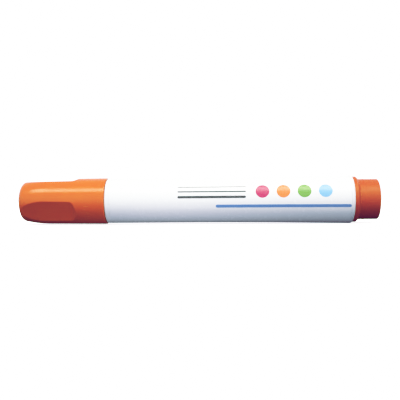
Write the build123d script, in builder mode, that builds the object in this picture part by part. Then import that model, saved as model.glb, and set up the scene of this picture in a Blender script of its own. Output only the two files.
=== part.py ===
"""Capped felt tip marker, lying on its side, as an assembly of separate pieces.

The barrel is an open tube with a printed film label round it. A nib holder is pressed into its front
end and a plug into its rear end, and between them lies the fibre ink reservoir, wrapped in film. The
fibre nib runs from the tip, through the holder, into the reservoir. The cap has three flats for the
fingers and an inner seal that closes on the holder's nose. It clicks over the holder's neck, and while
the marker is in use it can be pushed on to the plug's spigot instead.

Millimetres. The marker's axis is parallel to X, with the cap's closed end at -X and +Z up. The origin
is on the surface that the marker lies on, below the middle of its length. Every outline is drawn in
(distance from the cap's closed end, radius) and turned about the marker's axis.
"""

from build123d import *
from math import radians, tan
import os

# ---------------------------------------------------------------- overall
LENGTH = 134.0
BARREL_RADIUS = 8.35  # front half of the barrel, a true cylinder
BARREL_REAR_RADIUS = 8.90  # the rear half widens to this in one long arc
SPIGOT_RADIUS = 7.45  # rear plug, where the cap can be pushed on
AXIS_HEIGHT = BARREL_REAR_RADIUS  # the marker lies on its rear half

LATHE = Plane(origin=(-LENGTH / 2, 0, AXIS_HEIGHT), x_dir=(1, 0, 0), z_dir=(0, -1, 0))
SPIN = Axis((0, 0, AXIS_HEIGHT), (1, 0, 0))

# ---------------------------------------------------------------- clearances
PRESS_GAP = 0.02  # radial room left in a press fit
SLIP_GAP = 0.05  # radial room between the cap's seal and what it slides or turns on
SEAT_GAP = 0.10  # between faces that meet end to end
SNAP_GAP = 0.08  # radial room between the holder's snap bead and the cap's bore
END_PLAY = 0.5  # along the axis, where one piece stops short of the next

# ---------------------------------------------------------------- stations along the axis
CAP_LIP = 33.0
BARREL_FRONT = CAP_LIP + SEAT_GAP
BARREL_REAR = 124.6
NIB_TIP = 8.0
NOSE = 14.0  # front face of the nib holder
RESERVOIR_FRONT = 40.0
RESERVOIR_REAR = 116.0
PLUG_FRONT = RESERVOIR_REAR + END_PLAY

# ---------------------------------------------------------------- barrel and label
BORE_RADIUS = 7.2
FLARE_START = 65.0
FRONT_CHAMFER = 0.3
REAR_ROUND_LENGTH = 1.1
REAR_ROUND_DROP = 0.55
LABEL_FRONT = 35.0
LABEL_REAR = 123.2
LABEL_THICKNESS = 0.10
LABEL_RECESS = 0.12
LABEL_SEAM_DEGREES = 4.0
RIB_COUNT = 6
RIB_WIDTH = 0.8
RIB_FRONT = 47.0
RIB_REAR = 113.0
RIB_TO_FILM = 0.07

# ---------------------------------------------------------------- reservoir and nib
RESERVOIR_RADIUS = 6.1
FILM_THICKNESS = 0.06
FILM_MARGIN = 1.0  # bare fibre at each end of the reservoir
NIB_RADIUS = 2.3
NIB_POINT = 3.7  # length of the rounded tip
NIB_SHOULDER_ALONG = 0.22  # the tip's outline passes this share of its length back from the tip
NIB_SHOULDER_OUT = 0.52  # and there it has this share of the nib's radius
NIB_TAIL = 49.0
NIB_TAIL_TAPER = 4.0
NIB_TAIL_RADIUS = 1.0

# ---------------------------------------------------------------- nib holder
NECK_RADIUS = 7.42
NECK_FRONT = 25.0
NECK_CHAMFER = 0.8
SNAP_STATION = 29.0
SNAP_HALF_WIDTH = 0.7
SNAP_HEIGHT = 0.10
NOSE_RADIUS = 4.3
NOSE_CHAMFER = 0.6
NOSE_REAR = 18.5
SHOULDER_RADIUS = 6.6
HOLDER_TAIL = 45.0
HOLDER_TAIL_CHAMFER = 0.4
HOLDER_HOLLOW_RADIUS = 6.3
HOLDER_HOLLOW_FRONT = 21.5
NIB_TUBE_RADIUS = 3.3
NIB_TUBE_REAR = 39.0
VENT_COUNT = 4
VENT_WIDTH = 0.6
VENT_DEPTH = 0.35

# ---------------------------------------------------------------- rear plug
FLANGE_RADIUS = 8.45
FLANGE_WIDTH = 1.15
FLANGE_CONE = 1.0
SPIGOT_BEAD_STATION = 128.6
SPIGOT_BEAD_HALF_WIDTH = 0.7
SPIGOT_BEAD_HEIGHT = 0.06
SPIGOT_EDGE = 0.4
PLUG_HOLLOW_RADIUS = 6.2
PLUG_LEAD_IN = 0.8
PLUG_END_WALL = 1.4
PLUG_RING_STATIONS = (118.5, 121.5)
PLUG_RING_HALF_WIDTH = 0.5
PLUG_RING_HEIGHT = 0.06
PLUG_WEB = 0.9
PLUG_WEB_COUNT = 2
PLUG_DIMPLE_RADIUS = 2.4
PLUG_DIMPLE_DEPTH = 0.3

# ---------------------------------------------------------------- cap and its seal
CAP_RADIUS = 8.5  # at the taper's start; from there the wall widens a little towards the lip
CAP_LIP_RADIUS = 8.66
CAP_LIP_EDGE = 0.25
CAP_BORE_RADIUS = NECK_RADIUS + SNAP_HEIGHT + SNAP_GAP
CAP_BORE_DEPTH = 9.5
CAP_BORE_CHAMFER = 0.3
CAP_CAVITY_RADIUS = 6.0
CAP_CAVITY_REAR = 20.5
CAP_END_WALL = 2.0
TAPER_STATION = 11.0  # from here towards the closed end the cap narrows in a gentle curve
TAPER_END = 2.4
TAPER_END_RADIUS = 7.5
TAPER_DEGREES = 12.0
CORNER_RADIUS = 2.4
CORNER_DEGREES = 66.0
FLAT_COUNT = 3
FLAT_HEIGHT = 7.55  # from the axis to the flat, where its ramp starts
FLAT_SLOPE = 0.9  # degrees: the flats close in towards the cap's closed end
FLAT_EDGE = 0.6
FLAT_OVERRUN = 1.0  # how far the cut for a flat starts beyond the cap's closed end
RAMP_STATION = 20.0
RAMP_RADIUS = 3.0
RAMP_RISE_DEGREES = 35.0
RAMP_CREST_DEGREES = 27.0
SEAL_RADIUS = 5.2
SEAL_BORE_RADIUS = NOSE_RADIUS + SLIP_GAP
SEAL_MOUTH = NOSE_REAR - END_PLAY
SEAL_MOUTH_CHAMFER = 0.3
SEAL_WALL = 1.1
SEAL_CORNER = 0.6
SEAL_RING_STATIONS = (4.5, 16.0)
SEAL_RING_HALF_WIDTH = 0.9

RING_ROOT = 0.1  # how deep a bead or ring is sunk into what carries it


def barrel_radius(station):
    """Outer radius of the barrel at a station: a cylinder, then a long arc that widens it."""
    share = max(0.0, station - FLARE_START) / (BARREL_REAR - REAR_ROUND_LENGTH - FLARE_START)
    return BARREL_RADIUS + share**2 * (BARREL_REAR_RADIUS - BARREL_RADIUS)


def barrel_line(front, rear, inset):
    """Draws the barrel's outer line between two stations, moved in towards the axis by inset."""
    straight = Line((front, BARREL_RADIUS - inset), (FLARE_START, BARREL_RADIUS - inset))
    flare = TangentArc(straight @ 1, (rear, barrel_radius(rear) - inset), tangent=(1, 0))
    return straight @ 0, flare @ 1


def turn(outline, mode=Mode.ADD):
    """Turns a closed outline of (station, radius) points once about the marker's axis."""
    with BuildSketch(LATHE) as section:
        with BuildLine():
            Polyline(*outline, close=True)
        make_face()
    revolve(section.sketch, axis=SPIN, mode=mode)


def ring(station, half_width, radius, root, mode=Mode.ADD):
    """A low rounded bead or groove round the axis, whose section is an arc from root to radius."""
    with BuildSketch(LATHE) as section:
        with BuildLine():
            crown = ThreePointArc(
                (station - half_width, root), (station, radius), (station + half_width, root)
            )
            Line(crown @ 1, crown @ 0)
        make_face()
    revolve(section.sketch, axis=SPIN, mode=mode)


def cross_section(station):
    """The plane across the axis at a station, looking towards the rear plug."""
    return Plane(
        origin=(station - LENGTH / 2, 0, AXIS_HEIGHT), x_dir=(0, 1, 0), z_dir=(1, 0, 0)
    )


def save(part, label):
    """Labels a finished piece and writes its STEP file."""
    part.label = label
    export_step(part, f"parts/{label}.step")


os.makedirs("parts", exist_ok=True)

# ================================================================ barrel
with BuildPart() as barrel:
    with BuildSketch(LATHE):
        with BuildLine():
            front_face = Line(
                (BARREL_FRONT, BORE_RADIUS), (BARREL_FRONT, BARREL_RADIUS - FRONT_CHAMFER)
            )
            recess_start, recess_end = barrel_line(
                LABEL_FRONT - SEAT_GAP, LABEL_REAR + SEAT_GAP, LABEL_RECESS
            )
            Polyline(
                front_face @ 1,
                (BARREL_FRONT + FRONT_CHAMFER, BARREL_RADIUS),
                (recess_start.X, BARREL_RADIUS),
                recess_start,
            )
            round_start = (BARREL_REAR - REAR_ROUND_LENGTH, BARREL_REAR_RADIUS)
            rim = Polyline(
                recess_end,
                (recess_end.X, barrel_radius(recess_end.X)),
                round_start,
            )
            rear_round = TangentArc(
                rim @ 1, (BARREL_REAR, BARREL_REAR_RADIUS - REAR_ROUND_DROP), tangent=(1, 0)
            )
            Polyline(rear_round @ 1, (BARREL_REAR, BORE_RADIUS), front_face @ 0)
        make_face()
    revolve(axis=SPIN)
    # Ribs along the bore hold the reservoir clear of the wall, so that air can pass it.
    rib_inner = RESERVOIR_RADIUS + PRESS_GAP + FILM_THICKNESS + RIB_TO_FILM
    rib_outer = BORE_RADIUS + RING_ROOT
    with BuildSketch(cross_section(RIB_FRONT)):
        with PolarLocations((rib_inner + rib_outer) / 2, RIB_COUNT):
            Rectangle(rib_outer - rib_inner, RIB_WIDTH)
    extrude(amount=RIB_REAR - RIB_FRONT)
save(barrel.part, "barrel")

# ================================================================ label, open at a seam along the back
with BuildPart() as barrel_label:
    label_gap = (LABEL_RECESS - LABEL_THICKNESS) / 2
    with BuildSketch(LATHE.rotated((LABEL_SEAM_DEGREES / 2 - 90, 0, 0))):
        with BuildLine():
            outer_start, outer_end = barrel_line(LABEL_FRONT, LABEL_REAR, label_gap)
            inner_start, inner_end = barrel_line(
                LABEL_FRONT, LABEL_REAR, label_gap + LABEL_THICKNESS
            )
            Line(outer_start, inner_start)
            Line(outer_end, inner_end)
        make_face()
    revolve(axis=SPIN, revolution_arc=360 - LABEL_SEAM_DEGREES)
save(barrel_label.part, "barrel_label")

# ================================================================ ink reservoir and its film
with BuildPart() as ink_reservoir:
    nib_hole_radius = NIB_RADIUS + SLIP_GAP
    turn(
        [
            (RESERVOIR_FRONT, nib_hole_radius),
            (RESERVOIR_FRONT, RESERVOIR_RADIUS),
            (RESERVOIR_REAR, RESERVOIR_RADIUS),
            (RESERVOIR_REAR, 0),
            (NIB_TAIL + SEAT_GAP, 0),
            (NIB_TAIL + SEAT_GAP, nib_hole_radius),
        ]
    )
save(ink_reservoir.part, "ink_reservoir")

with BuildPart() as reservoir_film:
    film_radius = RESERVOIR_RADIUS + PRESS_GAP
    turn(
        [
            (RESERVOIR_FRONT + FILM_MARGIN, film_radius),
            (RESERVOIR_FRONT + FILM_MARGIN, film_radius + FILM_THICKNESS),
            (RESERVOIR_REAR - FILM_MARGIN, film_radius + FILM_THICKNESS),
            (RESERVOIR_REAR - FILM_MARGIN, film_radius),
        ]
    )
save(reservoir_film.part, "reservoir_film")

# ================================================================ nib, a rounded point on a fibre rod
with BuildPart() as nib:
    with BuildSketch(LATHE):
        with BuildLine():
            point = Spline(
                (NIB_TIP, 0),
                (NIB_TIP + NIB_SHOULDER_ALONG * NIB_POINT, NIB_SHOULDER_OUT * NIB_RADIUS),
                (NIB_TIP + NIB_POINT, NIB_RADIUS),
                tangents=((0, 1), (1, 0)),
            )
            Polyline(
                point @ 1,
                (NIB_TAIL - NIB_TAIL_TAPER, NIB_RADIUS),
                (NIB_TAIL, NIB_TAIL_RADIUS),
                (NIB_TAIL, 0),
                (NIB_TIP, 0),
            )
        make_face()
    revolve(axis=SPIN)
save(nib.part, "nib")

# ================================================================ nib holder
with BuildPart() as nib_holder:
    nib_bore = NIB_RADIUS + PRESS_GAP
    tail_radius = BORE_RADIUS - PRESS_GAP
    turn(
        [
            (NOSE, nib_bore),
            (NOSE, NOSE_RADIUS - NOSE_CHAMFER),
            (NOSE + NOSE_CHAMFER, NOSE_RADIUS),
            (NOSE_REAR, NOSE_RADIUS),
            (NECK_FRONT - NECK_CHAMFER, SHOULDER_RADIUS),
            (NECK_FRONT, NECK_RADIUS),
            (BARREL_FRONT, NECK_RADIUS),
            (BARREL_FRONT, tail_radius),
            (HOLDER_TAIL - HOLDER_TAIL_CHAMFER, tail_radius),
            (HOLDER_TAIL, tail_radius - HOLDER_TAIL_CHAMFER),
            (HOLDER_TAIL, HOLDER_HOLLOW_RADIUS),
            (NECK_FRONT + NECK_CHAMFER, HOLDER_HOLLOW_RADIUS),
            (HOLDER_HOLLOW_FRONT, NOSE_RADIUS),
            (HOLDER_HOLLOW_FRONT, NIB_TUBE_RADIUS),
            (NIB_TUBE_REAR, NIB_TUBE_RADIUS),
            (NIB_TUBE_REAR, nib_bore),
        ]
    )
    ring(SNAP_STATION, SNAP_HALF_WIDTH, NECK_RADIUS + SNAP_HEIGHT, NECK_RADIUS - RING_ROOT)
    # Vent grooves along the nib let air in as the ink is used up.
    with BuildSketch(cross_section(NOSE)):
        with PolarLocations(nib_bore + (VENT_DEPTH - RING_ROOT) / 2, VENT_COUNT):
            Rectangle(VENT_DEPTH + RING_ROOT, VENT_WIDTH)
    extrude(amount=NIB_TUBE_REAR - NOSE, mode=Mode.SUBTRACT)
save(nib_holder.part, "nib_holder")

# ================================================================ rear plug
with BuildPart() as rear_plug:
    sleeve_radius = BORE_RADIUS - PRESS_GAP - PLUG_RING_HEIGHT
    flange_front = BARREL_REAR + PRESS_GAP
    spigot_front = flange_front + FLANGE_WIDTH + FLANGE_CONE
    turn(
        [
            (PLUG_FRONT, PLUG_HOLLOW_RADIUS),
            (PLUG_FRONT, sleeve_radius - PLUG_LEAD_IN / 2),
            (PLUG_FRONT + PLUG_LEAD_IN, sleeve_radius),
            (flange_front, sleeve_radius),
            (flange_front, FLANGE_RADIUS),
            (flange_front + FLANGE_WIDTH, FLANGE_RADIUS),
            (spigot_front, SPIGOT_RADIUS),
            (LENGTH, SPIGOT_RADIUS),
            (LENGTH, 0),
            (LENGTH - PLUG_END_WALL, 0),
            (LENGTH - PLUG_END_WALL, PLUG_HOLLOW_RADIUS),
        ]
    )
    fillet(rear_plug.edges().filter_by(GeomType.CIRCLE).group_by(Axis.X)[-1], SPIGOT_EDGE)
    ring(
        SPIGOT_BEAD_STATION,
        SPIGOT_BEAD_HALF_WIDTH,
        SPIGOT_RADIUS + SPIGOT_BEAD_HEIGHT,
        SPIGOT_RADIUS - RING_ROOT,
    )
    for plug_ring_station in PLUG_RING_STATIONS:
        ring(
            plug_ring_station,
            PLUG_RING_HALF_WIDTH,
            sleeve_radius + PLUG_RING_HEIGHT,
            sleeve_radius - RING_ROOT,
        )
    # Two crossed webs inside push on the end of the reservoir.
    with BuildSketch(cross_section(PLUG_FRONT)):
        with PolarLocations(0, PLUG_WEB_COUNT, angular_range=180):
            Rectangle(2 * (PLUG_HOLLOW_RADIUS + RING_ROOT), PLUG_WEB)
    extrude(amount=LENGTH - PLUG_END_WALL + RING_ROOT - PLUG_FRONT)
    with BuildSketch(cross_section(LENGTH - PLUG_DIMPLE_DEPTH)):
        Circle(PLUG_DIMPLE_RADIUS)
    extrude(amount=PLUG_DIMPLE_DEPTH, mode=Mode.SUBTRACT)
save(rear_plug.part, "rear_plug")

# ================================================================ cap shell
with BuildPart() as cap_shell:
    # The outline starts on a ridge between two flats, so that no flat crosses the seam.
    with BuildSketch(LATHE.rotated((180 / FLAT_COUNT, 0, 0))):
        with BuildLine():
            mouth = Line((CAP_LIP, 0), (CAP_LIP, CAP_LIP_RADIUS))
            wall = Line(mouth @ 1, (TAPER_STATION, CAP_RADIUS))
            taper_heading = Vector(-1, 0).rotate(Axis.Z, TAPER_DEGREES)
            taper = Spline(
                wall @ 1, (TAPER_END, TAPER_END_RADIUS), tangents=(wall % 1, taper_heading)
            )
            corner = JernArc(taper @ 1, taper % 1, CORNER_RADIUS, CORNER_DEGREES)
            dome = Spline(corner @ 1, (0, 0), tangents=(corner % 1, (0, -1)))
            Line(dome @ 1, mouth @ 0)
        make_face()
    revolve(axis=SPIN)
    fillet(cap_shell.edges().filter_by(GeomType.CIRCLE).group_by(Axis.X)[-1], CAP_LIP_EDGE)
    turn(
        [
            (CAP_END_WALL, 0),
            (CAP_END_WALL, CAP_CAVITY_RADIUS),
            (CAP_CAVITY_REAR, CAP_CAVITY_RADIUS),
            (CAP_LIP - CAP_BORE_DEPTH, CAP_BORE_RADIUS),
            (CAP_LIP - CAP_BORE_CHAMFER, CAP_BORE_RADIUS),
            (CAP_LIP, CAP_BORE_RADIUS + CAP_BORE_CHAMFER),
            (CAP_LIP, 0),
        ],
        mode=Mode.SUBTRACT,
    )
    # The groove that the holder's snap bead rests in.
    ring(
        SNAP_STATION,
        SNAP_HALF_WIDTH + SNAP_HEIGHT,
        CAP_BORE_RADIUS + SNAP_HEIGHT,
        CAP_BORE_RADIUS - RING_ROOT,
        mode=Mode.SUBTRACT,
    )
    # Three flats for the fingers, each ending in an S-shaped ramp up to the full radius.
    flat_planes = [LATHE.rotated((360 / FLAT_COUNT * k, 0, 0)) for k in range(FLAT_COUNT)]
    with BuildSketch(*flat_planes):
        with BuildLine():
            flat_fall = (RAMP_STATION + FLAT_OVERRUN) * tan(radians(FLAT_SLOPE))
            flat_start = (-FLAT_OVERRUN, FLAT_HEIGHT - flat_fall)
            flat = Line(flat_start, (RAMP_STATION, FLAT_HEIGHT))
            rise = JernArc(flat @ 1, flat % 1, RAMP_RADIUS, RAMP_RISE_DEGREES)
            crest = JernArc(rise @ 1, rise % 1, RAMP_RADIUS, -RAMP_CREST_DEGREES)
            Polyline(
                crest @ 1,
                (crest @ 1) + (0, CAP_RADIUS),
                (-FLAT_OVERRUN, 2 * CAP_RADIUS),
                flat_start,
            )
        make_face()
    extrude(amount=CAP_RADIUS, both=True, mode=Mode.SUBTRACT)
    fillet(cap_shell.edges(Select.NEW).filter_by(GeomType.LINE, reverse=True), FLAT_EDGE)
save(cap_shell.part, "cap_shell")

# ================================================================ cap inner seal
with BuildPart() as cap_inner_seal:
    seal_base = CAP_END_WALL + SEAT_GAP
    turn(
        [
            (seal_base, 0),
            (seal_base, SEAL_RADIUS - SEAL_CORNER),
            (seal_base + SEAL_CORNER, SEAL_RADIUS),
            (SEAL_MOUTH, SEAL_RADIUS),
            (SEAL_MOUTH, SEAL_BORE_RADIUS + SEAL_MOUTH_CHAMFER),
            (SEAL_MOUTH - 2 * SEAL_MOUTH_CHAMFER, SEAL_BORE_RADIUS),
            (seal_base + SEAL_WALL, SEAL_BORE_RADIUS),
            (seal_base + SEAL_WALL, 0),
        ]
    )
    for seal_ring_station in SEAL_RING_STATIONS:
        ring(
            seal_ring_station,
            SEAL_RING_HALF_WIDTH,
            CAP_CAVITY_RADIUS - SLIP_GAP,
            SEAL_RADIUS - RING_ROOT,
        )
save(cap_inner_seal.part, "cap_inner_seal")
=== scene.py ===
"""Looks of a capped felt tip marker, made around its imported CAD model.

Everything is in metres and in the CAD frame: the marker lies along X with the cap's closed end at -X, its
axis at half the barrel's thickness above the floor, and -Y towards the camera. An angle round the axis is
counted in degrees from the side that faces the camera, upwards. The scale of a noise is per metre.
"""

import math
import random

import bpy
from mathutils import Matrix, Vector

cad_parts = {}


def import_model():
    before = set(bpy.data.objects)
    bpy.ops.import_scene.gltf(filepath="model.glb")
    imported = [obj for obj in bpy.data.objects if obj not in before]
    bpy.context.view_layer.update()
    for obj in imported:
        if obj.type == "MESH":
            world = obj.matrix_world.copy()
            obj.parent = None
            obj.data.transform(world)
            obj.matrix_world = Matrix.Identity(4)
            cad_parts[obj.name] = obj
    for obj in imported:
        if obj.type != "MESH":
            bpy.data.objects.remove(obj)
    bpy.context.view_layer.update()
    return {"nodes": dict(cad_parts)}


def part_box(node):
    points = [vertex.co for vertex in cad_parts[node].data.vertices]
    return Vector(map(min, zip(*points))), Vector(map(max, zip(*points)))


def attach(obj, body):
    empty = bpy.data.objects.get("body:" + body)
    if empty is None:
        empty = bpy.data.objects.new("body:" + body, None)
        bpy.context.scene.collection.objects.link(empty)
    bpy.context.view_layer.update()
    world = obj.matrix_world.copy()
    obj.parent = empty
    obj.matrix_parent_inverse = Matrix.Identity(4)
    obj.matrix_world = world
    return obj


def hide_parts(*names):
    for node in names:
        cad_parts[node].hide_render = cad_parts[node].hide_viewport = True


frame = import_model()

MM = 0.001
FULL_WHITE = 1.6  # the brightness that the picture shows as white

# ---------------------------------------------------------------- places taken from the frame
BARREL_LOW, BARREL_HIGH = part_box("barrel")
LABEL_LOW, LABEL_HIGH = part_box("barrel_label")
NIB_LOW, NIB_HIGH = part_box("nib")
CAP_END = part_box("cap_shell")[0].x
HOLDER_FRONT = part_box("nib_holder")[0].x
PLUG_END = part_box("rear_plug")[1].x
AXIS_HEIGHT = (BARREL_LOW.z + BARREL_HIGH.z) / 2
DIMPLE_DEPTH = 0.3 * MM  # of the round dimple in the plug's end

# ---------------------------------------------------------------- print on the label
CHART_FRONT = (LABEL_LOW.x + LABEL_HIGH.x) / 2 - 19 * MM
CHART_LENGTH = 25 * MM
CHART_LINES = ((35, 0.28 * MM), (22, 0.5 * MM), (8, 0.9 * MM))  # angle round the axis, weight
FIRST_DOT = CHART_FRONT + 31 * MM
DOT_PITCH = 7.6 * MM
DOT_RADIUS = 2.5 * MM
DOT_ANGLE = 22
STRIPE_FRONT = CHART_FRONT + 14 * MM
STRIPE_REAR = LABEL_HIGH.x - 0.1 * MM
STRIPE_ANGLE = -15
STRIPE_WEIGHT = 1.1 * MM
PRINT_PROUD = 0.018 * MM  # how far a printed mark stands out of the label
PRINT_SUNK = 0.03 * MM  # and how far it reaches into it
PRINT_ROW = 2 * MM  # between rows of points on the straight part of a mark
PRINT_COLUMNS = 8
END_STEPS = 8  # rows in each rounded end
BLUNT_END = 0.04  # the share of its width that a mark keeps at its very ends
TINY = 0.001 * MM

# ---------------------------------------------------------------- shape of the small pieces
SMOOTH_UP_TO = math.radians(35)  # edges sharper than this stay sharp
GATE_AROUND = 40
GATE_OUTLINE = (  # how far out of its face, radius, both in mm
    (0.12, 0.0), (0.12, 0.42), (0.09, 0.56), (0.04, 0.64), (0.0, 0.66), (-0.1, 0.66), (-0.1, 0.0),
)
NIB_AROUND = 96
NIB_ROWS = 26
GROOVE_DEPTH = 0.035 * MM
RAGGED = 0.03 * MM

# ---------------------------------------------------------------- colours, linear
ORANGE = (0.66, 0.129, 0.026)
ORANGE_DEEP = (0.54, 0.086, 0.028)
# pale orange of scratches and rubbed edges, which on the rims also serves as a painted edge highlight
ORANGE_WEAR_AND_EDGE_HIGHLIGHT = (0.93, 0.36, 0.12)
# the plug's orange is the cap's plastic made darker: painted shade for the rear end, where less light falls
SHADE_DARKENED_PLUG_ORANGE = (0.49, 0.076, 0.026)
SHADE_DARKENED_PLUG_ORANGE_DEEP = (0.37, 0.050, 0.028)
WARM_SHINE = (1.0, 1.0, 0.66, 1.0)
BARREL_WHITE = (0.86, 0.87, 0.875)
BARREL_WHITE_DEEP = (0.80, 0.82, 0.83)
LABEL_WHITE = (0.88, 0.89, 0.895)
LABEL_WHITE_DEEP = (0.84, 0.86, 0.88)
LABEL_SCUFF = (0.62, 0.64, 0.66)
HOLDER_WHITE = (0.80, 0.80, 0.78)
SEAL_WHITE = (0.74, 0.73, 0.69)
INK_STAIN = (0.70, 0.13, 0.02)
NIB_ORANGE = (0.62, 0.10, 0.012)
FIBRE_ORANGE = (0.72, 0.16, 0.03)
FILM_CLEAR = (0.92, 0.88, 0.80)
FILM_STAINED = (0.95, 0.70, 0.50)
FLOOR_PALE = (0.88, 0.88, 0.88)
FLOOR_DEEP = (0.86, 0.86, 0.86)
LINE_INK = ("grey", (0.035, 0.04, 0.048))
STRIPE_INK = ("blue", (0.12, 0.24, 0.52))
DOT_INKS = (
    ("magenta", (0.50, 0.02, 0.11)),
    ("orange", (0.85, 0.20, 0.035)),
    ("green", (0.16, 0.36, 0.05)),
    ("sky", (0.22, 0.46, 0.85)),
)
PLASTIC_IOR = 1.49
FILM_IOR = 1.5

# ---------------------------------------------------------------- stage, light and camera
FLOOR_HALF = 4.0
FLOOR_DROP = 0.01 * MM
SKY_BRIGHTEST = 1.5
SKY = (  # height of a direction, from straight down at -1 to straight up at 1, and the light from there
    (-1.0, (0.03, 0.03, 0.08)),
    (-0.5, (0.04, 0.04, 0.12)),
    (-0.2, (0.20, 0.24, 0.34)),
    (0.0, (0.85, 0.93, 1.02)),
    (0.3, (1.32, 1.41, 1.50)),
    (0.6, (1.06, 1.08, 1.06)),
    (1.0, (0.82, 0.83, 0.74)),
)
DIM_SHARE = 0.1  # what is left of the world's light from low behind
STRIP_DISTANCE = 0.6
STRIP_ANGLE = math.radians(58.5)
STRIP_REARWARDS = 0.15  # of its distance
STRIP_SIZE = (1.0, 0.21)
STRIP_POWER = 4.4
STRIP_COLOUR = (1.0, 0.99, 0.86)
FILL_PLACE = (-12 * MM, -66 * MM, -36 * MM)
FILL_SIZE = (0.04, 0.03)
FILL_POWER = 0.018
FILL_COLOUR = (0.96, 0.97, 1.0)
CAMERA_AIM = Vector((1.03 * MM, 0, AXIS_HEIGHT + 0.1 * MM))
CAMERA_OFFSET = 0.243 * Vector((0.043, -0.999, 0))
CAMERA_ROLL = math.radians(-0.42)
CAMERA_LENS = 58
CAMERA_NEAREST = 0.01

# ---------------------------------------------------------------- tone of the picture
TRUE_UP_TO = 0.5  # brighter values pale gradually to full white
BLACK_BLUE = 0.032  # the blue that black turns to
GRADE = (  # brightness before and after, for red, green and blue
    ((0.15, 0.138), (0.3, 0.28), (0.4, 0.375), (0.5, 0.495)),
    ((0.04, 0.028), (0.08, 0.055), (0.12, 0.1), (0.18, 0.175), (0.26, 0.268), (0.4, 0.404), (0.6, 0.6)),
    ((0.02, 0.041), (0.05, 0.052), (0.1, 0.072), (0.16, 0.14), (0.25, 0.25)),
)


# ================================================================ material helpers
class Nodes:
    """A node tree, with short ways to add nodes to it."""

    # Places of the colour sockets of a mix node, whose names other kinds of data share.
    SHARE, FIRST, SECOND, MIXED = 0, 6, 7, 2

    def __init__(self, tree):
        self.tree = tree

    def add(self, kind, **settings):
        node = self.tree.nodes.new(kind)
        for key, value in settings.items():
            setattr(node, key, value)
        return node

    def feed(self, socket, value):
        """Links another node's output to a socket, or sets the socket to a constant."""
        if isinstance(value, bpy.types.NodeSocket):
            self.tree.links.new(value, socket)
        else:
            socket.default_value = value

    def feed_all(self, node, values):
        for socket, value in values.items():
            self.feed(node.inputs[socket], value)

    def remap(self, source, low, high, to_low, to_high):
        node = self.add("ShaderNodeMapRange")
        limits = {"From Min": low, "From Max": high, "To Min": to_low, "To Max": to_high}
        self.feed_all(node, {"Value": source, **limits})
        return node.outputs["Result"]

    def math(self, operation, first, second):
        node = self.add("ShaderNodeMath", operation=operation)
        self.feed(node.inputs[0], first)
        self.feed(node.inputs[1], second)
        return node.outputs["Value"]

    def blend(self, share, first, second):
        """Mixes two colours, each a tuple or a socket, by share."""
        node = self.add("ShaderNodeMix", data_type="RGBA")
        for place, colour in ((self.FIRST, first), (self.SECOND, second)):
            self.feed(node.inputs[place], (*colour, 1) if isinstance(colour, tuple) else colour)
        self.feed(node.inputs[self.SHARE], share)
        return node.outputs[self.MIXED]

    def axes(self, vector):
        """The three coordinates of a vector."""
        node = self.add("ShaderNodeSeparateXYZ")
        self.feed(node.inputs["Vector"], vector)
        return node.outputs


class Shader(Nodes):
    """A material with a Principled shader, textured in the coordinates of its object."""

    def __init__(self, name, **values):
        self.material = bpy.data.materials.new(name)
        self.material.use_nodes = True
        super().__init__(self.material.node_tree)
        self.surface = self.tree.nodes["Principled BSDF"]
        for socket, value in values.items():
            self.set(socket.replace("_", " "), value)
        self.place = self.add("ShaderNodeTexCoord").outputs["Object"]

    def set(self, socket, value):
        self.feed(self.surface.inputs[socket], value)

    def soften(self, weight, radius, scale):
        """Lets some light through under the surface."""
        self.set("Subsurface Weight", weight)
        self.set("Subsurface Radius", radius)
        self.set("Subsurface Scale", scale)

    def noise(self, scale, detail=3.0, roughness=0.55, distortion=0.0, vector=None):
        node = self.add("ShaderNodeTexNoise")
        settings = {"Scale": scale, "Detail": detail, "Roughness": roughness, "Distortion": distortion}
        self.feed_all(node, {"Vector": vector or self.place, **settings})
        return node.outputs["Fac"]

    def streaks(self, along, across, detail=3.0, roughness=0.55, distortion=0.0):
        """Noise with one scale along the marker and another one across it."""
        node = self.add("ShaderNodeMapping")
        self.feed_all(node, {"Vector": self.place, "Scale": (along, across, across)})
        return self.noise(1, detail, roughness, distortion, node.outputs["Vector"])

    def bump(self, height, distance, under=None):
        """A normal for small relief of a height, on top of another normal if there is one under it."""
        node = self.add("ShaderNodeBump")
        self.feed_all(node, {"Distance": distance, "Strength": 1.0, "Height": height})
        if under is not None:
            self.feed(node.inputs["Normal"], under)
        return node.outputs["Normal"]

    def edges(self, radius):
        """1 on sharp edges and rims, 0 on open surfaces."""
        bevel = self.add("ShaderNodeBevel", samples=6)
        bevel.inputs["Radius"].default_value = radius
        dot = self.add("ShaderNodeVectorMath", operation="DOT_PRODUCT")
        self.feed(dot.inputs[0], bevel.outputs["Normal"])
        self.feed(dot.inputs[1], self.add("ShaderNodeNewGeometry").outputs["Normal"])
        return self.remap(dot.outputs["Value"], 0.99, 0.85, 0.0, 1.0)

    def scratches(self):
        """Fine hairline scuffs that run mostly along and round the marker: 1 on a scratch."""
        lengthwise = self.remap(self.streaks(160, 5200, 2.0, distortion=0.4), 0.66, 0.71, 0.0, 1.0)
        crosswise = self.remap(self.streaks(4200, 190, 2.0, distortion=0.6), 0.68, 0.72, 0.0, 1.0)
        patches = self.remap(self.noise(210, 2.0), 0.52, 0.68, 0.0, 1.0)
        return self.math("MULTIPLY", self.math("MAXIMUM", lengthwise, crosswise), patches)


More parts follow.
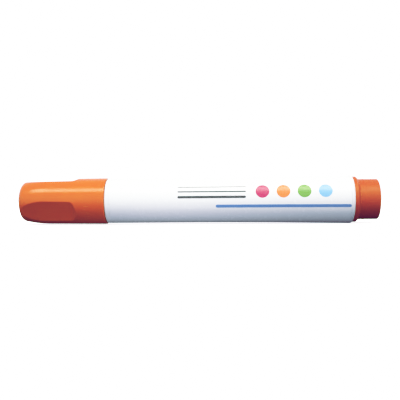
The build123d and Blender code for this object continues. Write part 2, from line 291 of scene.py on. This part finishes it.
# ================================================================ materials
def orange_plastic(name, colour, deep, shine, gloss):
    """Semi-gloss moulded polypropylene in the ink's colour, for the cap and the rear plug."""
    s = Shader(name, IOR=PLASTIC_IOR, Specular_IOR_Level=gloss, Specular_Tint=WARM_SHINE)
    s.soften(0.12, (1.0, 0.25, 0.08), 1.2 * MM)
    clouds = s.remap(s.noise(95, 2.0), 0.3, 0.7, 0.0, 0.35)
    flow = s.remap(s.streaks(70, 900), 0.35, 0.75, 0.0, 0.125)
    body = s.blend(flow, s.blend(clouds, colour, deep), deep)
    scratches = s.scratches()
    # Paler on rims and sharp edges in patches: partly rubbed wear, partly a painted highlight along the
    # edges.
    wear_and_edge_highlight = s.math("MULTIPLY", s.edges(0.45 * MM), s.remap(s.noise(900), 0.42, 0.62, 0.0, 0.55))
    pale = s.math("MAXIMUM", s.math("MULTIPLY", scratches, 0.25), wear_and_edge_highlight)
    s.set("Base Color", s.blend(pale, body, ORANGE_WEAR_AND_EDGE_HIGHLIGHT))
    rough = s.remap(s.noise(420, 4.0), 0.3, 0.7, shine, shine + 0.1)
    s.set("Roughness", s.math("ADD", rough, s.math("MULTIPLY", scratches, 0.2)))
    grain = s.bump(s.noise(5200, 4.0, 0.65), 0.006 * MM)
    s.set("Normal", s.bump(scratches, -0.004 * MM, under=grain))
    return s.material


def white_plastic():
    """Semi-gloss white polypropylene: the barrel, where the label leaves it bare."""
    s = Shader("white_plastic", IOR=PLASTIC_IOR)
    s.soften(0.1, (1.0, 1.0, 1.0), 0.8 * MM)
    clouds = s.remap(s.noise(120), 0.35, 0.7, 0.0, 0.4)
    s.set("Base Color", s.blend(clouds, BARREL_WHITE, BARREL_WHITE_DEEP))
    s.set("Roughness", s.remap(s.noise(500, 4.0), 0.3, 0.7, 0.26, 0.38))
    s.set("Normal", s.bump(s.noise(4800, 4.0, 0.65), 0.005 * MM))
    return s.material


def label_film():
    """Glossy white film, slightly uneven where the barrel shows through, with faint handling scuffs."""
    s = Shader("label_film", IOR=FILM_IOR, Coat_Weight=0.35, Coat_Roughness=0.12)
    scratches = s.scratches()
    clouds = s.remap(s.noise(80), 0.35, 0.7, 0.0, 0.35)
    colour = s.blend(clouds, LABEL_WHITE, LABEL_WHITE_DEEP)
    s.set("Base Color", s.blend(s.math("MULTIPLY", scratches, 0.2), colour, LABEL_SCUFF))
    rough = s.remap(s.noise(600), 0.3, 0.7, 0.2, 0.3)
    s.set("Roughness", s.math("ADD", rough, s.math("MULTIPLY", scratches, 0.25)))
    ripple = s.bump(s.streaks(130, 420), 0.02 * MM)
    s.set("Normal", s.bump(s.noise(7000), 0.002 * MM, under=ripple))
    return s.material


def stained_plastic(name, colour, stain_from, stain_to, shine):
    """Satin natural plastic that the ink has stained between two places along the axis."""
    s = Shader(name, IOR=PLASTIC_IOR)
    s.soften(0.5, (1.0, 0.8, 0.6), 1.5 * MM)
    along = s.axes(s.place)["X"]
    ragged = s.math("ADD", along, s.remap(s.noise(700, 4.0), 0.3, 0.7, -0.9 * MM, 0.9 * MM))
    fade = s.remap(ragged, stain_from, stain_to, 0.85, 0.0)
    specks = s.remap(s.noise(2600, 2.0), 0.66, 0.72, 0.0, 0.5)
    tint = s.remap(s.noise(160), 0.3, 0.7, 0.0, 0.3)
    body = s.blend(tint, colour, tuple(0.88 * c for c in colour))
    s.set("Base Color", s.blend(s.math("MAXIMUM", fade, specks), body, INK_STAIN))
    s.set("Roughness", s.remap(s.noise(480, 4.0), 0.3, 0.7, shine, shine + 0.14))
    s.set("Normal", s.bump(s.noise(4200, 4.0, 0.7), 0.008 * MM))
    return s.material


def felt(name, colour, grain):
    """Ink-soaked fibre: strands along the axis, dull, with painted shade in the gaps between them and their
    raised tops painted paler.
    """
    s = Shader(name, Roughness=0.95, Sheen_Weight=0.35, Sheen_Roughness=0.5)
    strands = s.streaks(grain / 14, grain, 4.0, 0.7)
    pores = s.noise(grain * 0.8, 3.0, 0.7)
    depth = s.math("ADD", s.math("MULTIPLY", strands, 0.7), s.math("MULTIPLY", pores, 0.3))
    # Darkest where the bump is lowest and palest where it is highest: painted shade in the gaps, painted
    # light on the strands' tops.
    dark = tuple(0.35 * c for c in colour)
    pale = tuple(min(1.0, 1.35 * c + 0.03) for c in colour)
    s.set("Base Color", s.blend(s.remap(depth, 0.38, 0.62, 0.0, 1.0), dark, pale))
    s.set("Normal", s.bump(depth, 0.12 * MM))
    return s.material


def clear_film():
    """Thin clear wrapping round the reservoir."""
    s = Shader("clear_film", Roughness=0.15, IOR=1.45, Transmission_Weight=0.7)
    wrinkles = s.streaks(260, 1100, 4.0)
    s.set("Base Color", s.blend(s.remap(wrinkles, 0.3, 0.7, 0.0, 1.0), FILM_CLEAR, FILM_STAINED))
    s.set("Normal", s.bump(wrinkles, 0.05 * MM))
    return s.material


def print_ink(name, colour):
    """A layer of printing ink: almost even, a little thinner in places."""
    s = Shader("print_" + name, IOR=FILM_IOR, Coat_Weight=0.3, Coat_Roughness=0.15)
    thin = s.remap(s.noise(3200), 0.45, 0.75, 0.0, 0.22)
    streaks = s.remap(s.streaks(300, 3000, 2.0), 0.5, 0.8, 0.0, 0.2)
    pale = tuple(0.6 * c + 0.35 for c in colour)
    s.set("Base Color", s.blend(s.math("MAXIMUM", thin, streaks), colour, pale))
    s.set("Roughness", s.remap(s.noise(900), 0.3, 0.7, 0.28, 0.42))
    s.set("Normal", s.bump(s.noise(6000, 2.0), 0.002 * MM))
    return s.material


# ================================================================ mesh helpers
def on_axis(x, radius, degrees):
    """The point at x along the marker, at a radius from its axis and an angle round it."""
    turn = math.radians(degrees)
    return Vector((x, -radius * math.cos(turn), AXIS_HEIGHT + radius * math.sin(turn)))


def outer_profile(node):
    """The x and the radius of each ring of points round a turned CAD node, the outermost at each x."""
    rings = {}
    for vertex in frame["nodes"][node].data.vertices:
        x, y, z = vertex.co
        key = round(x, 6)
        rings[key] = max(rings.get(key, 0.0), math.hypot(y, z - AXIS_HEIGHT))
    return sorted(rings.items())


def radius_at(profile, x):
    """The radius of a profile at x, worked out between its two nearest rings."""
    after = next((i for i, (place, _) in enumerate(profile) if place >= x), len(profile) - 1)
    (near, near_radius), (far, far_radius) = profile[max(0, after - 1)], profile[after]
    share = (x - near) / (far - near) if far > near else 0.0
    return near_radius + share * (far_radius - near_radius)


def make_piece(name, points, faces, material, body):
    """A mesh piece that rides on a CAD body."""
    mesh = bpy.data.meshes.new(name)
    mesh.from_pydata([tuple(p) for p in points], [], faces)
    mesh.validate()
    mesh.materials.append(material)
    mesh.shade_smooth()
    mesh.set_sharp_from_angle(angle=SMOOTH_UP_TO)
    piece = bpy.data.objects.new(name, mesh)
    bpy.context.scene.collection.objects.link(piece)
    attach(piece, body)
    return piece


def turned_faces(rows, around):
    """Faces of a closed form turned about the axis: a point, then rows of points, then a point."""
    faces = [(0, 1 + (k + 1) % around, 1 + k) for k in range(around)]
    for row in range(rows - 1):
        a, b = 1 + row * around, 1 + (row + 1) * around
        faces += [(a + k, a + (k + 1) % around, b + (k + 1) % around, b + k) for k in range(around)]
    last = 1 + (rows - 1) * around
    faces += [(last + k, last + (k + 1) % around, rows * around + 1) for k in range(around)]
    return faces


def slab_faces(rows, columns):
    """Faces of a thin closed slab. Its points come in rows, each with its upper points, then its lower."""
    width = columns + 1
    last = 2 * width * (rows - 1)
    faces = []
    for a in range(0, last, 2 * width):
        b = a + 2 * width
        for c in range(columns):
            faces.append((a + c, b + c, b + c + 1, a + c + 1))
            faces.append((a + width + c, a + width + c + 1, b + width + c + 1, b + width + c))
        faces.append((a, a + width, b + width, b))
        faces.append((a + columns, b + columns, b + width + columns, a + width + columns))
    for c in range(columns):
        faces.append((c, c + 1, width + c + 1, width + c))
        faces.append((last + c, last + width + c, last + width + c + 1, last + c + 1))
    return faces


# ================================================================ pieces
def mark_rows(length, half_width):
    """Rows along a mark with rounded ends: the place along it, and half its width there."""
    reach = min(half_width, length / 2)
    start = [reach * (1 - math.cos(math.pi / 2 * k / END_STEPS)) for k in range(END_STEPS + 1)]
    between = length - 2 * reach
    count = max(1, round(between / PRINT_ROW))
    straight = [reach + between * k / count for k in range(1, count)]
    finish = [length - s for s in reversed(start)]
    if finish[0] - start[-1] < TINY:
        finish.pop(0)
    rows = []
    for along in start + straight + finish:
        inset = max(0.0, 1 - min(along, length - along) / reach)
        roundness = math.sqrt(max(0.0, 1 - inset**2))
        rows.append((along, half_width * max(BLUNT_END, roundness)))
    return rows


def printed_mark(name, front, rear, degrees, half_width, ink):
    """A flat printed bar or dot: a thin closed solid with rounded ends that follows the label's curve."""
    label = outer_profile("barrel_label")
    rows = mark_rows(rear - front, half_width)
    points = []
    for along, half in rows:
        radius = radius_at(label, front + along)
        for lift in (PRINT_PROUD, -PRINT_SUNK):
            for column in range(PRINT_COLUMNS + 1):
                across = half * (2 * column / PRINT_COLUMNS - 1)
                turn = degrees + math.degrees(across / radius)
                points.append(on_axis(front + along, radius + lift, turn))
    faces = slab_faces(len(rows), PRINT_COLUMNS)
    make_piece("print_" + name, points, faces, ink, "barrel")


def print_on_label():
    """Generic print without lettering: a chart of three line weights, four plain dots and a pinstripe."""
    grey = print_ink(*LINE_INK)
    for number, (angle, weight) in enumerate(CHART_LINES, start=1):
        printed_mark(f"line_{number}", CHART_FRONT, CHART_FRONT + CHART_LENGTH, angle, weight / 2, grey)
    for number, ink in enumerate(DOT_INKS):
        middle = FIRST_DOT + number * DOT_PITCH
        front, rear = middle - DOT_RADIUS, middle + DOT_RADIUS
        printed_mark(f"dot_{number + 1}", front, rear, DOT_ANGLE, DOT_RADIUS, print_ink(*ink))
    blue = print_ink(*STRIPE_INK)
    printed_mark("pinstripe", STRIPE_FRONT, STRIPE_REAR, STRIPE_ANGLE, STRIPE_WEIGHT / 2, blue)


def gate_mark(name, node, end, outwards, body):
    """The small raised mark that the mould's gate leaves in the middle of a moulded end."""
    rows = [(end + outwards * lift * MM, radius * MM) for lift, radius in GATE_OUTLINE]
    if outwards > 0:
        rows.reverse()
    points = [on_axis(rows[0][0], 0, 0)]
    for x, radius in rows[1:-1]:
        points += [on_axis(x, radius, 360 * k / GATE_AROUND) for k in range(GATE_AROUND)]
    points.append(on_axis(rows[-1][0], 0, 0))
    faces = turned_faces(len(rows) - 2, GATE_AROUND)
    material = frame["nodes"][node].data.materials[0]
    make_piece(name, points, faces, material, body)


def felt_nib():
    """The nib as a bundle of fine strands: shallow grooves along it and a slightly ragged, rounded tip."""
    draw = random.Random(7)
    profile = outer_profile("nib")
    radius = (NIB_HIGH.z - NIB_LOW.z) / 2
    grooves = [draw.uniform(-GROOVE_DEPTH, GROOVE_DEPTH) for _ in range(NIB_AROUND)]
    points = [on_axis(NIB_LOW.x, 0, 0)]
    for row in range(1, NIB_ROWS + 1):
        x = NIB_LOW.x + (row / NIB_ROWS) ** 2 * (NIB_HIGH.x - NIB_LOW.x)
        size = radius_at(profile, x)
        for k, groove in enumerate(grooves):
            depth = min(1.0, size / radius) * (groove + draw.uniform(-RAGGED, RAGGED))
            points.append(on_axis(x, min(radius, size + depth - RAGGED), 360 * k / NIB_AROUND))
    points.append(on_axis(NIB_HIGH.x, 0, 0))
    material = felt("nib_fibre", NIB_ORANGE, 5200)
    faces = turned_faces(NIB_ROWS, NIB_AROUND)
    nib = make_piece("nib_felt", points, faces, material, "barrel")
    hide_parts("nib")


def paint_nodes():
    """Gives every CAD node that stays its own material."""
    stain_end, seal_stain_end = HOLDER_FRONT + 6 * MM, CAP_END + 15 * MM
    materials = {
        "barrel": white_plastic(),
        "barrel_label": label_film(),
        "cap_shell": orange_plastic("cap_plastic", ORANGE, ORANGE_DEEP, 0.13, 0.62),
        # the plug gets a darker copy of the cap's orange as painted shade at the marker's rear end
        "rear_plug": orange_plastic("plug_plastic_shade_darkened", SHADE_DARKENED_PLUG_ORANGE, SHADE_DARKENED_PLUG_ORANGE_DEEP, 0.42, 0.5),
        "nib_holder": stained_plastic("holder_plastic", HOLDER_WHITE, HOLDER_FRONT, stain_end, 0.34),
        "cap_inner_seal": stained_plastic("seal_plastic", SEAL_WHITE, CAP_END, seal_stain_end, 0.42),
        "ink_reservoir": felt("reservoir_fibre", FIBRE_ORANGE, 2600),
        "reservoir_film": clear_film(),
    }
    for node, material in materials.items():
        slots = frame["nodes"][node].data.materials
        slots.clear()
        slots.append(material)


# ================================================================ stage, light and camera
def floor():
    """A wide pale floor. It doesn't light the marker: the world below the horizon does that."""
    s = Shader("floor_paint", Roughness=0.9, Emission_Color=(1, 1, 1, 1))
    reach = s.add("ShaderNodeVectorMath", operation="LENGTH")
    s.feed(reach.inputs["Vector"], s.place)
    s.set("Emission Strength", s.remap(reach.outputs["Value"], 0.09, 0.5, 0.7, FULL_WHITE))
    s.set("Base Color", s.blend(s.remap(s.noise(3, 2.0), 0.3, 0.7, 0.0, 1.0), FLOOR_DEEP, FLOOR_PALE))
    mesh = bpy.data.meshes.new("floor")
    corners = [(x * FLOOR_HALF, y * FLOOR_HALF, 0) for x, y in ((-1, -1), (1, -1), (1, 1), (-1, 1))]
    mesh.from_pydata(corners, [], [(0, 1, 2, 3)])
    mesh.materials.append(s.material)
    plane = bpy.data.objects.new("floor", mesh)
    bpy.context.scene.collection.objects.link(plane)
    plane.location.z = -FLOOR_DROP
    for rays in ("visible_diffuse", "visible_glossy", "visible_transmission", "visible_shadow"):
        setattr(plane, rays, False)


def sky_ramp(n, height):
    """The sky's colour at a height, as a share of its brightest."""
    node = n.add("ShaderNodeValToRGB")
    elements = node.color_ramp.elements
    for _ in SKY[2:]:
        elements.new(1.0)
    for element, (stop, colour) in zip(elements, SKY):
        element.position = (stop + 1) / 2
        element.color = (*(c / SKY_BRIGHTEST for c in colour), 1)
    n.feed(node.inputs["Fac"], n.remap(height, -1.0, 1.0, 0.0, 1.0))
    return node.outputs["Color"]


def world():
    """Plain white to the camera. As a light it is soft: bright above, dim and a little bluish below."""
    sky = bpy.data.worlds.new("studio")
    sky.use_nodes = True
    n = Nodes(sky.node_tree)
    _, behind, height = n.axes(n.add("ShaderNodeTexCoord").outputs["Generated"])
    low = n.remap(height, 0.05, -0.3, 0.0, 1.0)
    low_behind = n.math("MULTIPLY", n.remap(behind, 0.0, 0.55, 0.0, 1.0), low)
    strength = n.remap(low_behind, 0.0, 1.0, SKY_BRIGHTEST, DIM_SHARE * SKY_BRIGHTEST)
    soft, plain = sky.node_tree.nodes["Background"], n.add("ShaderNodeBackground")
    n.feed_all(soft, {"Color": sky_ramp(n, height), "Strength": strength})
    n.feed_all(plain, {"Color": (1, 1, 1, 1), "Strength": FULL_WHITE})
    pick = n.add("ShaderNodeMixShader")
    n.feed(pick.inputs["Fac"], n.add("ShaderNodeLightPath").outputs["Is Camera Ray"])
    n.feed(pick.inputs[1], soft.outputs["Background"])
    n.feed(pick.inputs[2], plain.outputs["Background"])
    n.feed(sky.node_tree.nodes["World Output"].inputs["Surface"], pick.outputs["Shader"])
    bpy.context.scene.world = sky


def area_light(name, place, aim, size, power, colour):
    lamp = bpy.data.lights.new(name, "AREA")
    lamp.shape = "RECTANGLE"
    lamp.size, lamp.size_y = size
    lamp.energy = power
    lamp.color = colour
    holder = bpy.data.objects.new(name, lamp)
    bpy.context.scene.collection.objects.link(holder)
    holder.location = place
    holder.rotation_euler = (Vector(aim) - Vector(place)).to_track_quat("-Z", "Y").to_euler()
    holder.visible_camera = False
    return holder


def lights():
    """A long strip high in front makes the bright line along the cap. A small fill lifts its shaded side."""
    towards = Vector((STRIP_REARWARDS, -math.cos(STRIP_ANGLE), math.sin(STRIP_ANGLE)))
    place = Vector((0, 0, AXIS_HEIGHT)) + STRIP_DISTANCE * towards
    area_light("strip", place, (place.x, 0, AXIS_HEIGHT), STRIP_SIZE, STRIP_POWER, STRIP_COLOUR)
    aim = (FILL_PLACE[0], 0, AXIS_HEIGHT)
    fill = area_light("fill", FILL_PLACE, aim, FILL_SIZE, FILL_POWER, FILL_COLOUR)
    fill.visible_glossy = False


def camera():
    """Level with the marker's axis, a little nearer to its rear end."""
    data = bpy.data.cameras.new("camera")
    data.lens = CAMERA_LENS
    data.clip_start = CAMERA_NEAREST
    holder = bpy.data.objects.new("camera", data)
    bpy.context.scene.collection.objects.link(holder)
    holder.location = CAMERA_AIM + CAMERA_OFFSET
    facing = (-CAMERA_OFFSET).to_track_quat("-Z", "Y").to_matrix()
    holder.rotation_euler = (facing @ Matrix.Rotation(CAMERA_ROLL, 3, "Z")).to_euler()
    bpy.context.scene.camera = holder


def shoulder(value):
    """What the picture shows of a brightness: the same up to TRUE_UP_TO, then a slow rise to full white."""
    to_white = min(1.0, (FULL_WHITE - value) / (FULL_WHITE - TRUE_UP_TO))
    power = (FULL_WHITE - TRUE_UP_TO) / (1 - TRUE_UP_TO)
    return min(value, 1 - (1 - TRUE_UP_TO) * to_white**power)


def tone():
    """A soft shoulder for bright values, and a mild grade of each channel for dark ones."""
    view = bpy.context.scene.view_settings
    view.view_transform = "Standard"
    view.use_curve_mapping = True
    mapping = view.curve_mapping
    mapping.white_level = (FULL_WHITE,) * 3
    mapping.extend = "HORIZONTAL"
    red, green, blue, combined = mapping.curves
    for value in [TRUE_UP_TO / 2] + [TRUE_UP_TO + 0.1 * k for k in range(11)]:
        combined.points.new(value / FULL_WHITE, shoulder(value))
    blue.points[0].location = (0.0, BLACK_BLUE / FULL_WHITE)
    for channel, points in zip((red, green, blue), GRADE):
        for before, after in points:
            channel.points.new(before / FULL_WHITE, after / FULL_WHITE)
    mapping.update()


paint_nodes()
print_on_label()
felt_nib()
gate_mark("cap_gate_mark", "cap_shell", CAP_END, -1, "cap")
gate_mark("plug_gate_mark", "rear_plug", PLUG_END - DIMPLE_DEPTH, 1, "barrel")
floor()
world()
lights()
camera()
tone()
